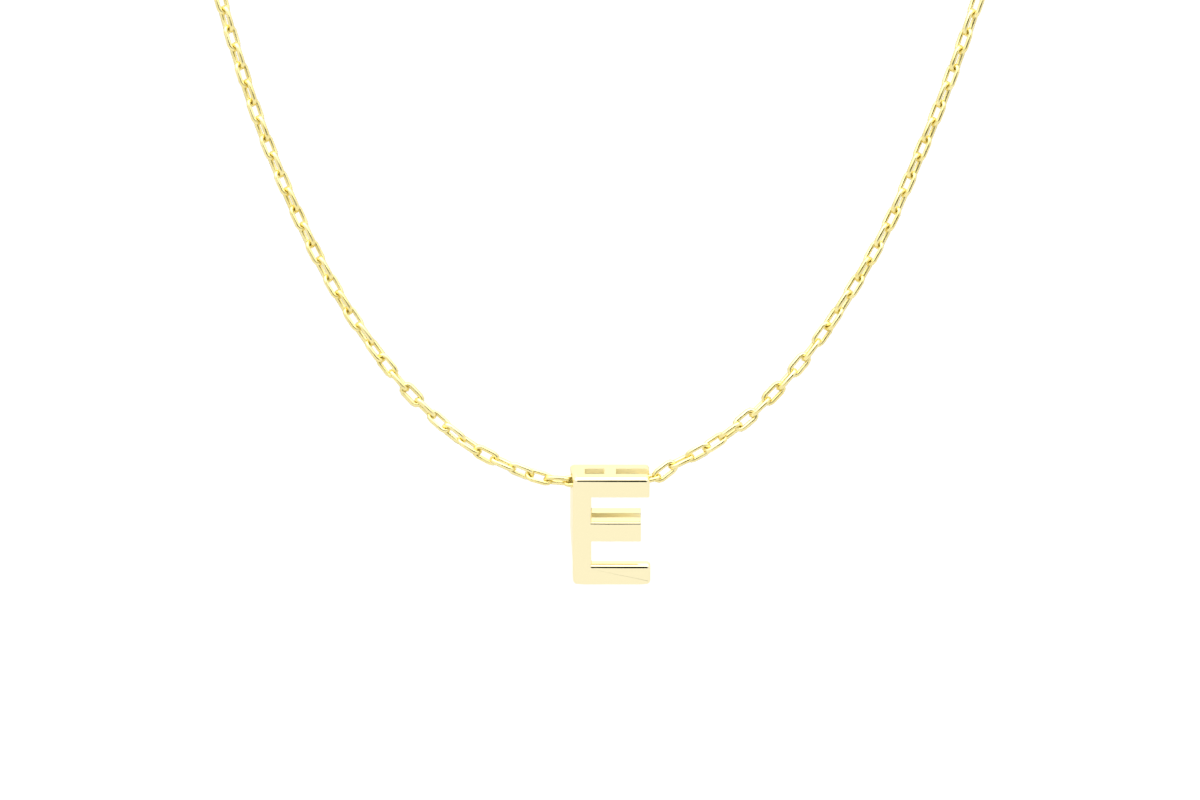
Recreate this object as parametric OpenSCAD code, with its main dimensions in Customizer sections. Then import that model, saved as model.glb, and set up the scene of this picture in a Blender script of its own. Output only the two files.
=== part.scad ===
// Initial necklace: a block letter E that slides on a fine cable chain.
// The origin is at the nape, at the middle of the clasp, where the necklace hangs.
// X is to the right as seen from the front, Y points back and Z up.

/* [Letter] */
// Height of the letter
letter_h = 9.65; // [9:0.05:11]
// Thickness of the letter from front to back
letter_t = 3.1; // [2.9:0.1:3.6]
// Thickness of the foot and its arm, below the slant at the back
foot_t = 0.85; // [0.7:0.05:1.2]
// Left edge of the letter's face, from the middle of the channel
left_face = 3.15; // [3:0.05:3.2]
// Left edge of the letter at its back, as its side widens backwards
left_rear = 3.42; // [3.35:0.01:3.42]
// Left edge of the letter at its thin foot
left_foot = 3.24; // [3.23:0.01:3.3]
// Inner edge of the stem, on the same side
stem_edge = 1.65; // [1.2:0.05:2.2]
// Reach of the top arm to the right
top_reach = 3.2; // [3.1:0.05:3.3]
// Reach of the middle arm to the right
middle_reach = 2.5; // [1.5:0.1:3.3]
// Reach of the bottom arm to the right
bottom_reach = 3.3; // [2.8:0.1:3.8]
// Height of the top arm
top_h = 1.7; // [1.65:0.05:1.9]
// Height of the middle arm
middle_h = 1.75; // [1.5:0.05:2]
// Height of the bottom arm
bottom_h = 1.8; // [1.5:0.05:2]
// Top of the middle arm, below the top of the letter
middle_drop = 3.95; // [3.5:0.05:4.2]
// Radius of the letter's outer corners
corner_r = 0.3; // [0.1:0.05:0.5]

/* [Channel and slots] */
// Diameter of the channel for the chain
channel_d = 1.34; // [1.33:0.01:1.38]
// Diameter to which the channel flares on the right, where the chain lifts as it leaves
mouth_d = 1.44; // [1.42:0.01:1.5]
// Depth of the flare
mouth_deep = 0.7; // [0.5:0.1:1]
// Width of the slots along the top arm
slot_w = 1.15; // [0.6:0.05:1.2]
// Width of the slot along the middle arm
middle_slot_w = 0.95; // [0.6:0.05:1.2]
// Wall between the slots and the face of the letter
front_wall = 1.05; // [0.9:0.05:1.3]
// Depth of the slot in the middle arm
middle_slot_deep = 1; // [0.4:0.1:1.1]
// Left end of the first slot in the top arm
first_slot_start = -2.2; // [-2.6:0.1:-1.6]
// Right end of the first slot in the top arm
first_slot_end = -0.55; // [-1:0.05:-0.2]
// Left end of the second slot, which runs out at the end of the arm
second_slot_start = 0.4; // [0:0.1:1]

/* [Chain] */
// Wire of the links
wire_d = 0.305; // [0.3:0.005:0.31]
// Width of a link outside
link_w = 1.22; // [1.2:0.01:1.24]
// Distance from each link to the next
pitch = 1.6; // [1.59:0.005:1.61]
// Play between two links along the chain
link_play = 0.145; // [0.1:0.005:0.16]
// How far the front of the chain leans back from upright
front_lean = 22; // [0:1:30]

/* [Clasp] */
// Outside diameter of the clasp's ring
clasp_d = 5; // [4.5:0.1:6]
// Wire of the clasp's ring
clasp_wire = 0.9; // [0.7:0.05:1]
// Outside diameter of the eye that holds the chain
eye_d = 1.8; // [1.7:0.1:2.2]
// Outside diameter of the ring on the other end of the chain
end_ring_d = 2.8; // [2.6:0.1:3.4]
// Wire of the eye and of the end ring
eye_wire = 0.32; // [0.3:0.01:0.33]

/* [Hidden] */
$fn = 48;

// The middle of the channel, seen from the nape
channel_at = [0, -98.5, -98.5];
// How far a cut runs past the face that it opens
past = 0.5;
// Depth of the eye's wire in the clasp's ring, where they are soldered
solder = 0.3;
// Play between the clasp's ring and the end ring
ring_play = 0.12;
// Points worked out along each stretch of the route
fine = 12;

// Points where the links meet in the channel, from the middle outwards, as [to the right, back, up].
// The two halves of the chain meet at the first point, and the chain lifts as it leaves on the right.
left_channel = [[0.85, 0, 0], [-0.65, 0, 0], [-2.15, 0, 0], [-3.65, 0, 0]];
right_channel = [[0.85, 0, 0], [2.27, 0, 0], [3.86, 0.04, 0.38]];

// Where the chain hangs, from the middle of the channel outwards.
// Front rows are [out to the side, up the leaning front], back rows are [out to the side, back, up].
left_front = [[3.65, 0], [5.15, 0.1], [8.0, 1.03], [12.1, 3.17], [16.7, 7.3], [20.7, 12.4], [24.05, 17.9],
    [26.8, 23.7], [29.2, 29.6], [31.25, 35.8], [33.0, 41.8], [34.8, 47.6]];
left_back = [[40.2, 24.4, 56.2], [46.6, 33.5, 66.8], [52.0, 44.6, 75.4], [54.4, 57.0, 82.0],
    [51.0, 73.0, 88.8], [40.0, 86.8, 94.0], [23.5, 95.4, 97.3]];
right_front = [[3.86, 0.33], [5.13, 1.3], [8.0, 2.78], [11.9, 5.68], [16.1, 10.2], [19.8, 15.5], [23.0, 21.1],
    [25.68, 27.1], [28.02, 32.9], [30.58, 40.1], [33.1, 47.6]];
right_back = [[38.8, 24.3, 56.1], [45.4, 33.4, 66.7], [51.0, 44.5, 75.3], [53.6, 57.0, 82.0],
    [50.4, 73.0, 88.8], [39.8, 86.8, 94.0], [23.5, 95.4, 97.3]];

// Roll of the links, as [links from the letter, degrees], where 0 is flat to the front
left_roll = [[-3, 0], [0, 45], [1, 36], [3, 3], [4, 0], [9, 72], [10, 86], [13, 135], [108, 135], [118, 180]];
right_roll = [[1, 0], [2, 12], [6, 85], [7, 90], [10, 90], [13, 135], [108, 135], [118, 90]];
// Turn of the front of the links round the neck, as [links from the letter, degrees]
face_turn = [[33, 0], [118, 180]];

// Sizes of a link along the middle of its wire
bend_r = (link_w - wire_d) / 2;
side_length = pitch + link_play + wire_d - 2 * bend_r;
// How far the end of a link reaches past the point where it meets the next
hook = (link_play + wire_d) / 2;

// Places of the clasp's eye and of the end ring, and the two ends of the chain
eye_at = (clasp_d + eye_d) / 2 - solder;
end_ring_at = clasp_d / 2 - clasp_wire - ring_play - eye_wire + end_ring_d / 2;
wire_gap = eye_wire / 2 + link_play + wire_d / 2;
end_left = eye_at + (eye_d - eye_wire) / 2 - wire_gap + hook;
end_right = end_ring_at + (end_ring_d - eye_wire) / 2 - wire_gap + hook;

function unit(v) = v / norm(v);
function last(list) = list[len(list) - 1];

// Points of the route on one side, where side is -1 for the left and 1 for the right
function route(side, front, back, end) = concat(
    [for (row = front) [side * row.x, row.y * sin(front_lean), row.y * cos(front_lean)]],
    [for (row = back) [side * row.x, row.y, row.z]],
    [[side * end, 0, 0] - channel_at]);

// A point on the smooth curve through the points of a route
function on_curve(points, i, t) = let(
    b = points[i],
    c = points[i + 1],
    a = i > 0 ? points[i - 1] : 2 * b - c,
    d = i + 2 < len(points) ? points[i + 2] : 2 * c - b
) b + t * (c - a + t * (2 * a - 5 * b + 4 * c - d + t * (3 * b - 3 * c + d - a))) / 2;

function curve(points) = [
    for (i = [0:len(points) - 2]) for (k = [0:fine - 1]) on_curve(points, i, k / fine),
    last(points)
];

function run_lengths(points) = [
    for (i = 0, run = 0; i < len(points); run = run + norm(points[min(i + 1, len(points) - 1)] - points[i]),
        i = i + 1) run
];

// Points where the links meet, evenly spaced along a route
function meeting_points(points) = let(
    smooth = curve(points),
    runs = run_lengths(smooth),
    count = round(last(runs) / pitch),
    tables = [for (axis = [0:2]) [for (i = [0:len(smooth) - 1]) [runs[i], smooth[i][axis]]]]
) [for (k = [0:count]) [for (axis = [0:2]) lookup(last(runs) * k / count, tables[axis])]];

left_points = meeting_points(route(-1, left_front, left_back, end_left));
right_points = meeting_points(route(1, right_front, right_back, end_right));

// Takes one corner off an outline, where x and z say which way it points
module corner_off(at, x, z) {
    translate([at.x - x * corner_r, at.y - z * corner_r]) mirror([x < 0 ? 1 : 0, 0])
        mirror([0, z < 0 ? 1 : 0]) difference() {
            square(corner_r + past);
            circle(corner_r);
        }
}

// Heights in the letter, with zero at the middle of the channel
top = top_h / 2;
foot = top - letter_h;
middle_top = top - middle_drop;
middle_foot = middle_top - middle_h;
bottom_top = foot + bottom_h;

// The letter from the front
module letter_outline() {
    difference() {
        union() {
            translate([-left_rear, foot]) square([left_rear - stem_edge, letter_h]);
            translate([-stem_edge - past, top - top_h]) square([top_reach + stem_edge + past, top_h]);
            translate([-stem_edge - past, middle_foot]) square([middle_reach + stem_edge + past, middle_h]);
            translate([-stem_edge - past, foot]) square([bottom_reach + stem_edge + past, bottom_h]);
        }
        corner_off([-left_rear, top], -1, 1);
        corner_off([-left_foot, foot], -1, -1);
        corner_off([top_reach, top], 1, 1);
        corner_off([bottom_reach, bottom_top], 1, 1);
        corner_off([bottom_reach, foot], 1, -1);
    }
}

// The letter from above, whose left side widens backwards
module letter_plan() {
    face = -letter_t / 2;
    right = max(top_reach, bottom_reach) + past;
    polygon([[-left_face, face], [right, face], [right, -face], [-left_rear, -face]]);
}

// The letter from the side, as [back, up], whose back slants in to the thin foot
module letter_side() {
    face = -letter_t / 2;
    polygon([[face, foot], [face, top], [-face, top], [-face, middle_foot], [face + foot_t, bottom_top],
        [face + foot_t, foot]]);
}

// A slot down into an arm, from one place to another
module slot(from, to, wide, bottom, over) {
    translate([from, front_wall - letter_t / 2, bottom]) cube([to - from, wide, over - bottom + past]);
}

module letter_e() {
    width = 2 * (left_rear + bottom_reach);
    color([0.93, 0.78, 0.42]) translate(channel_at) difference() {
        intersection() {
            rotate([90, 0, 0]) linear_extrude(letter_t, center = true) letter_outline();
            translate([0, 0, foot - past]) linear_extrude(letter_h + 2 * past) letter_plan();
            rotate([90, 0, 90]) linear_extrude(width, center = true) letter_side();
        }
        rotate([0, 90, 0]) cylinder(d = channel_d, h = width, center = true);
        translate([top_reach - mouth_deep, 0, 0]) rotate([0, 90, 0])
            cylinder(d1 = channel_d, d2 = mouth_d, h = mouth_deep);
        slot(first_slot_start, first_slot_end, slot_w, 0, top);
        slot(second_slot_start, top_reach + past, slot_w, 0, top);
        slot(-stem_edge, middle_reach + past, middle_slot_w, middle_top - middle_slot_deep, middle_top);
    }
}

// One soldered link, lying in the XZ plane with its length along X
module link() {
    rotate([90, 0, 0]) for (way = [-1, 1]) {
        translate([way * side_length / 2, 0, 0]) rotate([0, 0, -90 * way])
            rotate_extrude(angle = 180) translate([bend_r, 0]) circle(d = wire_d);
        translate([0, way * bend_r, 0]) rotate([0, 90, 0])
            cylinder(d = wire_d, h = side_length, center = true);
    }
}

// Lays X from one point to another, with Y as near as can be to the way that the front faces
module between(from, to, front) {
    x = unit(to - from);
    y = unit(front - (front * x) * x);
    z = cross(x, y);
    at = (from + to) / 2;
    multmatrix([[x.x, y.x, z.x, at.x], [x.y, y.y, z.y, at.y], [x.z, y.z, z.z, at.z]]) children();
}

// Links along a run of points, where first counts the first of them from the letter
module strand(points, side, first, rolls) {
    translate(channel_at) for (i = [0:len(points) - 2]) {
        count = first + i;
        turn = lookup(count, face_turn);
        roll = side * (90 * abs(count % 2) + lookup(count, rolls));
        between(points[i], points[i + 1], [side * sin(turn), -cos(turn), 0])
            rotate([roll, 0, 0]) link();
    }
}

module chain_left() {
    color([0.85, 0.66, 0.25]) {
        strand(left_channel, -1, 1 - len(left_channel), left_roll);
        strand(left_points, -1, 0, left_roll);
    }
}

module chain_right() {
    color([0.85, 0.66, 0.25]) {
        strand(right_channel, 1, 1 - len(right_channel), right_roll);
        strand(right_points, 1, 0, right_roll);
    }
}

// A ring of round wire that lies flat in the XY plane
module wire_ring(outside, wire) {
    rotate_extrude() translate([(outside - wire) / 2, 0]) circle(d = wire);
}

module clasp() {
    color([0.83, 0.64, 0.24]) rotate([90, 0, 0]) {
        wire_ring(clasp_d, clasp_wire);
        translate([-eye_at, 0, 0]) wire_ring(eye_d, eye_wire);
    }
}

module end_ring() {
    color([0.83, 0.64, 0.24]) translate([end_ring_at, 0, 0]) wire_ring(end_ring_d, eye_wire);
}

letter_e();
chain_left();
chain_right();
clasp();
end_ring();
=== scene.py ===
import math

import bmesh
import bpy
import numpy as np
from mathutils import Matrix, Vector


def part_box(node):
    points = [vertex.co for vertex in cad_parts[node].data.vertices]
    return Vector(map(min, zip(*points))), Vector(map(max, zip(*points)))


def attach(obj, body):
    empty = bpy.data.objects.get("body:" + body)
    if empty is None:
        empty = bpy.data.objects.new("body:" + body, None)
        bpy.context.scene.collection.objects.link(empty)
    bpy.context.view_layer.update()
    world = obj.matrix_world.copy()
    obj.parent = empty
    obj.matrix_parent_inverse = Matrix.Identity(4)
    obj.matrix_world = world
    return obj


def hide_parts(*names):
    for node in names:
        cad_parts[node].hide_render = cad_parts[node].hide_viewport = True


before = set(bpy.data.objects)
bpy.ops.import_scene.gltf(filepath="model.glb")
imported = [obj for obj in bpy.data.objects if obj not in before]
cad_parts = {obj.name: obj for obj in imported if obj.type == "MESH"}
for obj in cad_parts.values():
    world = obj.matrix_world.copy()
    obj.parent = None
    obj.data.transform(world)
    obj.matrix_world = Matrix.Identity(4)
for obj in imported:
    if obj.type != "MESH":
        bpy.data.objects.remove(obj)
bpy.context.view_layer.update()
MM = 0.001

# The camera
# It looks down on the letter as the photograph does, through a long lens, with the hanging
# front of the chain square to the view.
look_down = math.radians(22)
image_size = 1200
pixels_per_mm = 12
letter_pixel = Vector((611, 481))
image_middle = Vector((600, 400))
lens_mm = 120
sensor_mm = 36
channel_depth = 0.85 * MM
letter_low, letter_high = (Vector(corner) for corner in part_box("letter_e"))
channel = Vector((0, (letter_low.y + letter_high.y) / 2, letter_high.z - channel_depth))
view_up = Vector((0, math.sin(look_down), math.cos(look_down)))
to_camera = Vector((0, -math.cos(look_down), math.sin(look_down)))
offset = (image_middle - letter_pixel) * MM / pixels_per_mm
aim = channel + Vector((offset.x, 0, 0)) - offset.y * view_up
distance = image_size / pixels_per_mm * MM * lens_mm / sensor_mm
camera_data = bpy.data.cameras.new("camera")
camera_data.lens = lens_mm
camera_data.sensor_width = sensor_mm
camera_data.clip_start = 0.01
camera_data.clip_end = 20
camera = bpy.data.objects.new("camera", camera_data)
camera.location = aim + distance * to_camera
camera.rotation_euler = (math.pi / 2 - look_down, 0, 0)
bpy.context.scene.collection.objects.link(camera)
bpy.context.scene.camera = camera

# The studio
# A pale floor under a bright white sky, as in a light tent. The opening of the tent, where the
# camera stands, is dark, and polished edges that face it show it as a thin dark line.
bpy.context.scene.view_settings.view_transform = "Standard"
floor_drop = 0.06
floor_size = 6
floor_white = (0.54, 0.54, 0.54, 1)
floor_roughness = 0.9
floor_mesh = bpy.data.meshes.new("floor")
shape = bmesh.new()
bmesh.ops.create_grid(shape, x_segments=1, y_segments=1, size=floor_size / 2)
bmesh.ops.translate(shape, vec=(0, 0, letter_low.z - floor_drop), verts=shape.verts)
shape.to_mesh(floor_mesh)
shape.free()
floor = bpy.data.objects.new("floor", floor_mesh)
bpy.context.scene.collection.objects.link(floor)
white = bpy.data.materials.new("floor_white")
white.use_nodes = True
surface = white.node_tree.nodes["Principled BSDF"]
surface.inputs["Base Color"].default_value = floor_white
surface.inputs["Roughness"].default_value = floor_roughness
surface.inputs["Specular IOR Level"].default_value = 0
floor_mesh.materials.append(white)

front_sky = 0.98
back_sky = 1.3
top_sky = 1.6
back_rise = (-0.2, 0.9)
top_rise = (0.4, 0.9)
front_edge = (0, 0.2)
tent_white = (1, 1, 1, 1)
opening_dark = (0.02, 0.018, 0.01, 1)
opening_middle = (0.3, -0.15)
opening_half_width = 0.48
opening_half_height = 0.46
opening_slope = -0.5
opening_blur = 0.12
sky = bpy.data.worlds.new("light_tent")
sky.use_nodes = True
nodes = sky.node_tree.nodes
links = sky.node_tree.links
background = nodes["Background"]
way = nodes.new("ShaderNodeTexCoord")


def along(direction):
    """How far the way out to the sky goes along a direction."""
    dot = nodes.new("ShaderNodeVectorMath")
    dot.operation = "DOT_PRODUCT"
    links.new(way.outputs["Generated"], dot.inputs[0])
    dot.inputs[1].default_value = direction
    return dot.outputs["Value"]


def ramp(value, low, high, to_low, to_high):
    """Changes smoothly from one number to another as a value goes from low to high."""
    change = nodes.new("ShaderNodeMapRange")
    change.interpolation_type = "SMOOTHSTEP"
    links.new(value, change.inputs["Value"])
    change.inputs["From Min"].default_value = low
    change.inputs["From Max"].default_value = high
    change.inputs["To Min"].default_value = to_low
    change.inputs["To Max"].default_value = to_high
    return change.outputs["Result"]


to_right = Vector((1, 0, 0))
across = to_right / opening_half_width
upwards = (view_up - opening_slope * to_right) / opening_half_height
in_opening = nodes.new("ShaderNodeCombineXYZ")
links.new(along(across), in_opening.inputs["X"])
links.new(along(upwards), in_opening.inputs["Y"])
from_middle = nodes.new("ShaderNodeVectorMath")
from_middle.operation = "DISTANCE"
links.new(in_opening.outputs[0], from_middle.inputs[0])
middle_way = opening_middle[0] * to_right + opening_middle[1] * view_up
from_middle.inputs[1].default_value = (middle_way.dot(across), middle_way.dot(upwards), 0)
opening = nodes.new("ShaderNodeMath")
opening.operation = "MULTIPLY"
links.new(ramp(from_middle.outputs["Value"], 1 - opening_blur, 1 + opening_blur, 1, 0), opening.inputs[0])
links.new(ramp(along(to_camera), *front_edge, 0, 1), opening.inputs[1])
tent = nodes.new("ShaderNodeMix")
tent.data_type = "RGBA"
links.new(opening.outputs[0], tent.inputs["Factor"])
tent.inputs["A"].default_value = tent_white
tent.inputs["B"].default_value = opening_dark
links.new(tent.outputs["Result"], background.inputs["Color"])
strength = nodes.new("ShaderNodeMath")
strength.operation = "ADD"
links.new(ramp(along(Vector((0, 1, 0))), *back_rise, front_sky, back_sky), strength.inputs[0])
links.new(ramp(along(Vector((0, 0, 1))), *top_rise, 0, top_sky), strength.inputs[1])
links.new(strength.outputs[0], background.inputs["Strength"])
bpy.context.scene.world = sky

key_size = 0.5
key_watts = 0.5
key_place = Vector((-0.35, -0.15, 0.6))
key_data = bpy.data.lights.new("soft_key", "AREA")
key_data.shape = "SQUARE"
key_data.size = key_size
key_data.energy = key_watts
key = bpy.data.objects.new("soft_key", key_data)
key.location = aim + key_place
key.rotation_euler = (aim - key.location).to_track_quat("-Z", "Y").to_euler()
bpy.context.scene.collection.objects.link(key)

# The chain
# Oval links of polished yellow gold wire, bent one through the next and soldered shut. Each one
# lies where its link of the frame lies, and the two halves meet inside the letter. The sizes of a
# link are its length, its width and its wire.
hidden_link = (2.35 * MM, 1.215 * MM, 0.375 * MM)
front_link = (2.44 * MM, 1.3 * MM, 0.42 * MM)
letter_side = 4 * MM
front_side = 50 * MM
bend_steps = 5
wire_sides = 6
merge_gap = 0.001 * MM


def make_link(length, width, wire):
    """One link in the XY plane, its length along X, made from a ring of the wire's section."""
    bend = (width - wire) / 2
    side = (length - wire) / 2 - bend
    shape = bmesh.new()
    section = bmesh.ops.create_circle(shape, segments=wire_sides, radius=wire / 2)["verts"]
    bmesh.ops.rotate(shape, cent=(0, 0, 0), matrix=Matrix.Rotation(math.pi / 2, 3, "Y"), verts=section)
    bmesh.ops.translate(shape, vec=(side, -bend, 0), verts=section)
    ring = list(shape.edges)
    for end in (side, -side):
        turned = bmesh.ops.spin(shape, geom=ring, cent=(end, 0, 0), axis=(0, 0, 1), angle=math.pi,
                                steps=bend_steps)["geom_last"]
        ring = [part for part in turned if isinstance(part, bmesh.types.BMEdge)]
        pulled = bmesh.ops.extrude_edge_only(shape, edges=ring)["geom"]
        moved = [part for part in pulled if isinstance(part, bmesh.types.BMVert)]
        bmesh.ops.translate(shape, vec=(-2 * end, 0, 0), verts=moved)
        ring = [part for part in pulled if isinstance(part, bmesh.types.BMEdge)]
    bmesh.ops.remove_doubles(shape, verts=shape.verts, dist=merge_gap)
    bmesh.ops.recalc_face_normals(shape, faces=shape.faces)
    for face in shape.faces:
        face.smooth = True
    mesh = bpy.data.meshes.new("link")
    shape.to_mesh(mesh)
    shape.free()
    return mesh


def link_places(node):
    """Where each loose link of a node lies: its middle, with X along it and Z square to it."""
    shape = bmesh.new()
    shape.from_mesh(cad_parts[node].data)
    bmesh.ops.remove_doubles(shape, verts=shape.verts, dist=merge_gap)
    left = set(shape.verts)
    places = []
    while left:
        island = [left.pop()]
        for vert in island:
            for joined in vert.link_edges:
                other = joined.other_vert(vert)
                if other in left:
                    left.discard(other)
                    island.append(other)
        faces = {face for vert in island for face in vert.link_faces}
        points = np.array([face.calc_center_median() for face in faces])
        areas = np.array([face.calc_area() for face in faces])
        middle = areas @ points / areas.sum()
        spread = (points - middle).T @ ((points - middle) * areas[:, None])
        axes = np.linalg.eigh(spread)[1]
        lengthways, square = Vector(axes[:, 2]), Vector(axes[:, 0])
        place = Matrix((lengthways, square.cross(lengthways), square)).transposed().to_4x4()
        place.translation = Vector(middle)
        places.append(place)
    shape.free()
    return places


wire_edge_tint = (0.98, 0.9, 0.62, 1)
pale_gold = (0.93, 0.83, 0.42, 1)
deep_gold = (0.87, 0.74, 0.3, 1)
cloud_span = (0.3, 0.7)
wire_mark_depth = 0.004 * MM


def metal(name, edge_tint):
    """A metal, with the tint that it takes where it is seen edge on."""
    material = bpy.data.materials.new(name)
    material.use_nodes = True
    shader = material.node_tree.nodes["Principled BSDF"]
    shader.inputs["Metallic"].default_value = 1
    shader.inputs["Specular Tint"].default_value = edge_tint
    return material, shader


def worn(material, size, detail, low, high):
    """A fine cloudy pattern on a piece's own surface, as a number between low and high."""
    nodes, links = material.node_tree.nodes, material.node_tree.links
    place = nodes.new("ShaderNodeTexCoord")
    cloud = nodes.new("ShaderNodeTexNoise")
    links.new(place.outputs["Object"], cloud.inputs["Vector"])
    cloud.inputs["Scale"].default_value = 1 / size
    cloud.inputs["Detail"].default_value = detail
    span = nodes.new("ShaderNodeMapRange")
    links.new(cloud.outputs["Fac"], span.inputs["Value"])
    span.inputs["From Min"].default_value = cloud_span[0]
    span.inputs["From Max"].default_value = cloud_span[1]
    span.inputs["To Min"].default_value = low
    span.inputs["To Max"].default_value = high
    return span.outputs["Result"]


def tinted(material, share, first, second):
    """Mixes two colours of metal by a share from 0 to 1."""
    mix = material.node_tree.nodes.new("ShaderNodeMix")
    mix.data_type = "RGBA"
    material.node_tree.links.new(share, mix.inputs["Factor"])
    mix.inputs["A"].default_value = first
    mix.inputs["B"].default_value = second
    return mix.outputs["Result"]


def dented(material, height, depth):
    """Turns a pattern into shallow marks in the surface."""
    bump = material.node_tree.nodes.new("ShaderNodeBump")
    material.node_tree.links.new(height, bump.inputs["Height"])
    bump.inputs["Distance"].default_value = depth
    return bump.outputs["Normal"]


def finish_wire(material, shader, polish_size, roughness, colour_size, mark_size):
    """The look of drawn and tumbled wire: uneven polish, a slight change of colour, small marks."""
    links = material.node_tree.links
    links.new(worn(material, polish_size, 3, *roughness), shader.inputs["Roughness"])
    colours = worn(material, colour_size, 1, 0, 1)
    links.new(tinted(material, colours, pale_gold, deep_gold), shader.inputs["Base Color"])
    marks = worn(material, mark_size, 2, 0, 1)
    links.new(dented(material, marks, wire_mark_depth), shader.inputs["Normal"])


chain_gold, surface = metal("chain_gold", wire_edge_tint)
finish_wire(chain_gold, surface, 0.6 * MM, (0.22, 0.34), 2.4 * MM, 0.3 * MM)

front_mesh = make_link(*front_link)
hidden_mesh = make_link(*hidden_link)
for node in ("chain_left", "chain_right"):
    shape = bmesh.new()
    for place in link_places(node):
        in_front = letter_side < abs(place.translation.x) < front_side
        one = (front_mesh if in_front else hidden_mesh).copy()
        one.transform(place)
        shape.from_mesh(one)
        bpy.data.meshes.remove(one)
    mesh = bpy.data.meshes.new(node + "_links")
    shape.to_mesh(mesh)
    shape.free()
    mesh.materials.append(chain_gold)
    links_piece = bpy.data.objects.new(node + "_links", mesh)
    bpy.context.scene.collection.objects.link(links_piece)
    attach(links_piece, "necklace")
    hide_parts(node)

# The letter
# Block letter E, cast in yellow gold and mirror polished, its edges rounded by the polishing
# wheel. The channel and slots inside it keep the satin finish of the casting, and their colour is
# painted paler and lighter than the polished gold: painted light that lifts the shade in these
# hollows. It is shaped round the middle of its channel, and put in its place at the end.
face_left = -3.15 * MM
stem_inner = -1.65 * MM
top_end = 3.2 * MM
middle_end = 2.5 * MM
bottom_end = 3.3 * MM
top_arm_foot = -0.85 * MM
middle_arm_top = -3.1 * MM
middle_arm_foot = -4.85 * MM
bottom_arm_top = -7.0 * MM
foot_thick = 0.85 * MM
corner_round = 0.36 * MM
full_round = 0.34 * MM
end_round = 0.2 * MM
middle_round = 0.21 * MM
small_round = 0.07 * MM
round_steps = 6
rounded_angle = math.radians(25)
sharp_angle = math.radians(35)
flat_angle = math.radians(0.5)
channel_width = 1.34 * MM
mouth_width = 1.44 * MM
mouth_deep = 0.7 * MM
slot_front = -0.5 * MM
slot_back = 0.65 * MM
middle_slot_back = 0.45 * MM
first_slot = (-2.2 * MM, -0.55 * MM)
second_slot_start = 0.4 * MM
middle_slot_foot = middle_arm_top - 1 * MM
past = 1 * MM
near = 0.01 * MM
snap = 0.0025 * MM
round_sides = 48
facing = 0.9
flat_facing = 0.9999

low, high = letter_low - channel, letter_high - channel
letter = bmesh.new()
outline = ((face_left, low.z), (bottom_end, low.z), (bottom_end, bottom_arm_top),
           (stem_inner, bottom_arm_top), (stem_inner, middle_arm_foot), (middle_end, middle_arm_foot),
           (middle_end, middle_arm_top), (stem_inner, middle_arm_top), (stem_inner, top_arm_foot),
           (top_end, top_arm_foot), (top_end, high.z), (face_left, high.z))
corners = [letter.verts.new((x, low.y, z)) for x, z in outline]
front = letter.faces.new(corners)
pulled = bmesh.ops.extrude_face_region(letter, geom=[front])["geom"]
rear = [part for part in pulled if isinstance(part, bmesh.types.BMVert)]
bmesh.ops.translate(letter, vec=(0, high.y - low.y, 0), verts=rear)
bmesh.ops.translate(letter, vec=(low.x - face_left, 0, 0),
                    verts=[vert for vert in rear if vert.co.x < face_left + near])
bmesh.ops.recalc_face_normals(letter, faces=letter.faces)
rounded = ((face_left, low.z), (low.x, low.z), (face_left, high.z), (low.x, high.z), (top_end, high.z),
           (bottom_end, bottom_arm_top), (bottom_end, low.z))


def is_at(vert, x, z):
    """Whether a corner lies at a place in the outline."""
    return abs(vert.co.x - x) < near and abs(vert.co.z - z) < near


outer = [edge for edge in letter.edges
         if all(any(is_at(vert, x, z) for x, z in rounded) for vert in edge.verts)
         and abs(edge.verts[0].co.y - edge.verts[1].co.y) > near]
bmesh.ops.bevel(letter, geom=outer, offset=corner_round, offset_type="OFFSET", segments=round_steps,
                profile=0.5, affect="EDGES", material=-1)
weights = letter.edges.layers.float.new("bevel_weight_edge")
for edge in letter.edges:
    if edge.calc_face_angle() < rounded_angle:
        continue
    one, two = (vert.co for vert in edge.verts)
    middle = (one + two) / 2
    level = abs(one.z - two.z) < near
    width = small_round
    if middle.y < low.y + near:
        below_arm = bottom_arm_top - middle.z
        on_arm = middle.x > stem_inner and -near < below_arm < corner_round - near
        if middle.z > high.z - corner_round - near or on_arm:
            width = full_round
        elif level and abs(middle.z - middle_arm_top) < near:
            width = middle_round
        elif middle.x < face_left + corner_round or middle.x > top_end - corner_round:
            width = end_round
    edge[weights] = width / full_round
for face in letter.faces:
    face.smooth = True
mesh = bpy.data.meshes.new("letter_polished")
letter.to_mesh(mesh)
letter.free()
letter_piece = bpy.data.objects.new("letter_polished", mesh)
bpy.context.scene.collection.objects.link(letter_piece)
rounding = letter_piece.modifiers.new("rounding", "BEVEL")
rounding.limit_method = "WEIGHT"
rounding.width = full_round
rounding.segments = round_steps
rounding.profile = 0.5
rounding.use_clamp_overlap = False


def cut_with(shape):
    """Takes a shape out of the letter."""
    bmesh.ops.recalc_face_normals(shape, faces=shape.faces)
    cutter_mesh = bpy.data.meshes.new("cutter")
    shape.to_mesh(cutter_mesh)
    shape.free()
    cutter = bpy.data.objects.new("cutter", cutter_mesh)
    bpy.context.scene.collection.objects.link(cutter)
    cut = letter_piece.modifiers.new("cut", "BOOLEAN")
    cut.operation = "DIFFERENCE"
    cut.solver = "EXACT"
    cut.object = cutter
    return cutter


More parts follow.
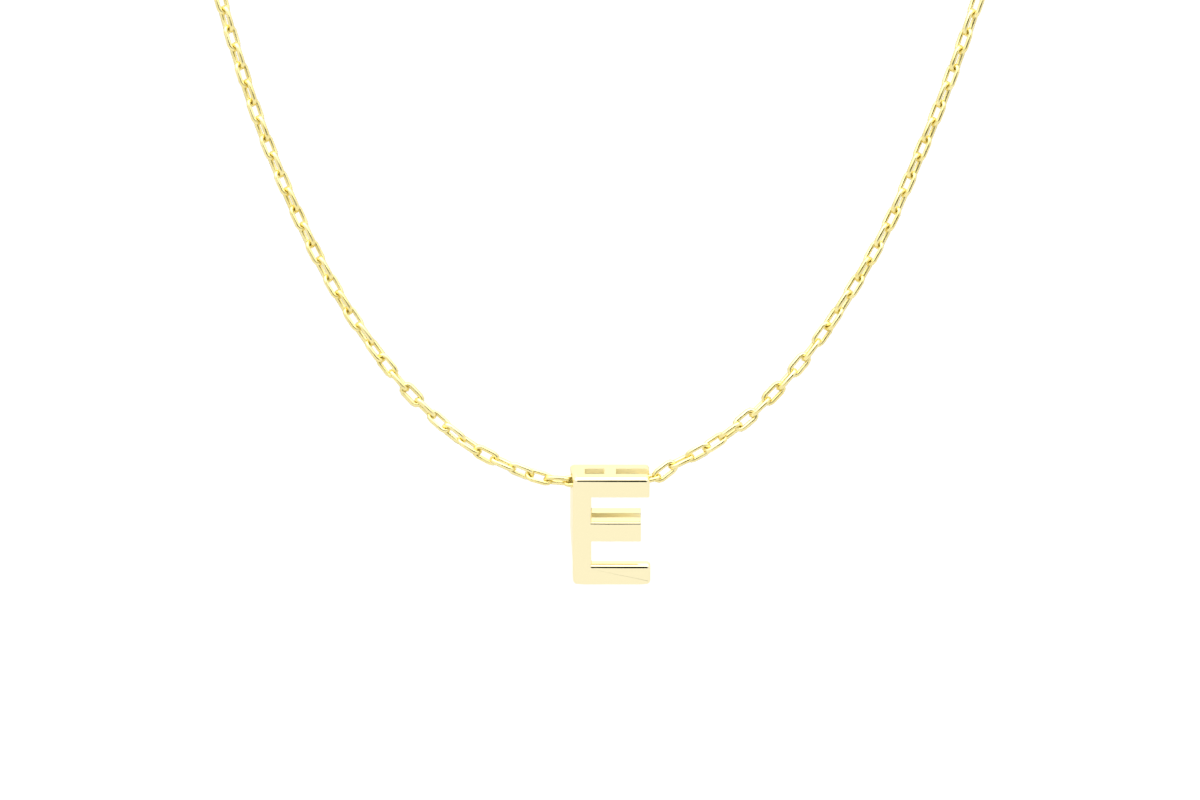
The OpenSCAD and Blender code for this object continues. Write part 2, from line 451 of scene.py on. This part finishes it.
sideways = Matrix.Rotation(math.pi / 2, 4, "Y")
cutters = []
shape = bmesh.new()
bmesh.ops.create_cone(shape, cap_ends=True, segments=round_sides, radius1=channel_width / 2,
                      radius2=channel_width / 2, depth=high.x - low.x + 2 * past, matrix=sideways)
cutters.append(cut_with(shape))
shape = bmesh.new()
bmesh.ops.create_cone(shape, cap_ends=True, segments=round_sides, radius1=channel_width / 2,
                      radius2=mouth_width - channel_width / 2, depth=2 * mouth_deep,
                      matrix=Matrix.Translation((top_end, 0, 0)) @ sideways)
cutters.append(cut_with(shape))
right, above = high.x + past, high.z + past
for start, end in (((first_slot[0], slot_front, 0), (first_slot[1], slot_back, above)),
                   ((second_slot_start, slot_front, 0), (right, slot_back, above)),
                   ((stem_inner, slot_front, middle_slot_foot),
                    (right, middle_slot_back, middle_arm_top + past))):
    shape = bmesh.new()
    bmesh.ops.create_cube(shape, size=1)
    bmesh.ops.scale(shape, vec=Vector(end) - Vector(start), verts=shape.verts)
    bmesh.ops.translate(shape, vec=(Vector(start) + Vector(end)) / 2, verts=shape.verts)
    cutters.append(cut_with(shape))
shape = bmesh.new()
foot_back = low.y + foot_thick
wedge = ((foot_back, low.z - past), (foot_back, bottom_arm_top), (high.y, middle_arm_foot),
         (high.y + past, middle_arm_foot), (high.y + past, low.z - past))
ring = [shape.verts.new((low.x - past, y, z)) for y, z in wedge]
pulled = bmesh.ops.extrude_face_region(shape, geom=[shape.faces.new(ring)])["geom"]
bmesh.ops.translate(shape, vec=(high.x - low.x + 2 * past, 0, 0),
                    verts=[part for part in pulled if isinstance(part, bmesh.types.BMVert)])
cutters.append(cut_with(shape))

depsgraph = bpy.context.evaluated_depsgraph_get()
cut_mesh = bpy.data.meshes.new_from_object(letter_piece.evaluated_get(depsgraph))
letter_piece.modifiers.clear()
for cutter in cutters:
    bpy.data.objects.remove(cutter)
letter = bmesh.new()
letter.from_mesh(cut_mesh)
for vert in letter.verts:
    for axis in range(3):
        vert.co[axis] = min(max(vert.co[axis], low[axis]), high[axis])
    if vert.co.y < low.y + snap:
        vert.co.y = low.y
bmesh.ops.dissolve_limit(letter, angle_limit=flat_angle, verts=letter.verts, edges=letter.edges)
bmesh.ops.triangulate(letter, faces=[face for face in letter.faces if len(face.verts) > 4])
# Marks the faces of the channel and slots. Their satin roughness is real; their paler colour is painted
# light that lifts the shade in these hollows.
inside_layer = letter.faces.layers.float.new("inside")
for face in letter.faces:
    middle = face.calc_center_median()
    on_top = face.normal.z > facing and middle.z > high.z - near
    at_end = abs(face.normal.x) > facing and (middle.x > middle_end - near or middle.x < face_left)
    shut_in = all(abs(vert.co.y) < mouth_width / 2 + near and vert.co.z > middle_slot_foot - near
                  for vert in face.verts)
    face[inside_layer] = 1 if shut_in and not on_top and not at_end else 0
    face.smooth = max(abs(part) for part in face.normal) < flat_facing
for edge in letter.edges:
    if len(edge.link_faces) == 2 and edge.calc_face_angle() > sharp_angle:
        edge.smooth = False
bmesh.ops.translate(letter, vec=channel, verts=letter.verts)
letter.to_mesh(mesh)
letter.free()

mirror_gold = (0.93, 0.838, 0.538, 1)
# Painted light: the channel and slots get this paler, lighter gold in place of the polished gold, to lift
# the shade inside them.
satin_gold_painted_light = (1, 0.95, 0.72, 1)
letter_edge_tint = (0.97, 0.9, 0.66, 1)
mirror_roughness = (0.05, 0.1)
satin_roughness = 0.7
polish_depth = 0.0015 * MM
letter_gold, surface = metal("letter_gold", letter_edge_tint)
links = letter_gold.node_tree.links
attribute = letter_gold.node_tree.nodes.new("ShaderNodeAttribute")
attribute.attribute_name = "inside"
satin_and_painted_light = attribute.outputs["Fac"]
# The paler colour in the channel and slots is painted light against their shade; the roughness added
# below is their real satin finish.
links.new(tinted(letter_gold, satin_and_painted_light, mirror_gold, satin_gold_painted_light), surface.inputs["Base Color"])
satin = letter_gold.node_tree.nodes.new("ShaderNodeMath")
satin.operation = "MULTIPLY_ADD"
links.new(satin_and_painted_light, satin.inputs[0])
satin.inputs[1].default_value = satin_roughness
links.new(worn(letter_gold, 1.5 * MM, 3, *mirror_roughness), satin.inputs[2])
links.new(satin.outputs[0], surface.inputs["Roughness"])
waves = worn(letter_gold, 1.2 * MM, 2, 0, 1)
links.new(dented(letter_gold, waves, polish_depth), surface.inputs["Normal"])
mesh.materials.append(letter_gold)
flats = letter_piece.modifiers.new("flats", "WEIGHTED_NORMAL")
flats.weight = 100
flats.keep_sharp = True
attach(letter_piece, "letter")
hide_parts("letter_e")

# The clasp and the end ring
# The clasp is a plain ring of thick wire with a small eye soldered to it, which holds the left end
# of the chain. A thin ring on the right end hangs in it. Both are of the same polished gold.
clasp_across = 5 * MM
clasp_wire = 0.9 * MM
eye_across = 1.8 * MM
thin_wire = 0.32 * MM
solder_size = 0.3 * MM
ring_steps = 64
ring_sides = 20


def add_ring(shape, across, wire, middle, axis):
    """A closed ring of round wire about an axis."""
    axis = Vector(axis)
    out = Vector((0, 0, 1)) if abs(axis.z) < 0.5 else Vector((1, 0, 0))
    section = bmesh.ops.create_circle(shape, segments=ring_sides, radius=wire / 2)["verts"]
    turn = axis.cross(out).to_track_quat("Z", "Y").to_matrix()
    bmesh.ops.rotate(shape, cent=(0, 0, 0), matrix=turn, verts=section)
    bmesh.ops.translate(shape, vec=middle + out * (across - wire) / 2, verts=section)
    edges = list({edge for vert in section for edge in vert.link_edges})
    bmesh.ops.spin(shape, geom=edges, cent=middle, axis=axis, angle=2 * math.pi, steps=ring_steps,
                   use_merge=True)


clasp_gold, surface = metal("clasp_gold", wire_edge_tint)
finish_wire(clasp_gold, surface, 0.8 * MM, (0.14, 0.26), 3 * MM, 0.4 * MM)

eye_middle = (clasp_across + eye_across) / 2 - solder_size
for node in ("clasp", "end_ring"):
    low_corner, high_corner = (Vector(corner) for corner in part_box(node))
    shape = bmesh.new()
    size = high_corner - low_corner
    if node == "clasp":
        add_ring(shape, size.z, clasp_wire, Vector((0, 0, 0)), (0, 1, 0))
        add_ring(shape, eye_across, thin_wire, Vector((-eye_middle, 0, 0)), (0, 1, 0))
    else:
        add_ring(shape, min(size.x, size.y), thin_wire, (low_corner + high_corner) / 2, (0, 0, 1))
    bmesh.ops.recalc_face_normals(shape, faces=shape.faces)
    for face in shape.faces:
        face.smooth = True
    mesh = bpy.data.meshes.new(node + "_polished")
    shape.to_mesh(mesh)
    shape.free()
    mesh.materials.append(clasp_gold)
    piece = bpy.data.objects.new(node + "_polished", mesh)
    bpy.context.scene.collection.objects.link(piece)
    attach(piece, "necklace")
    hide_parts(node)
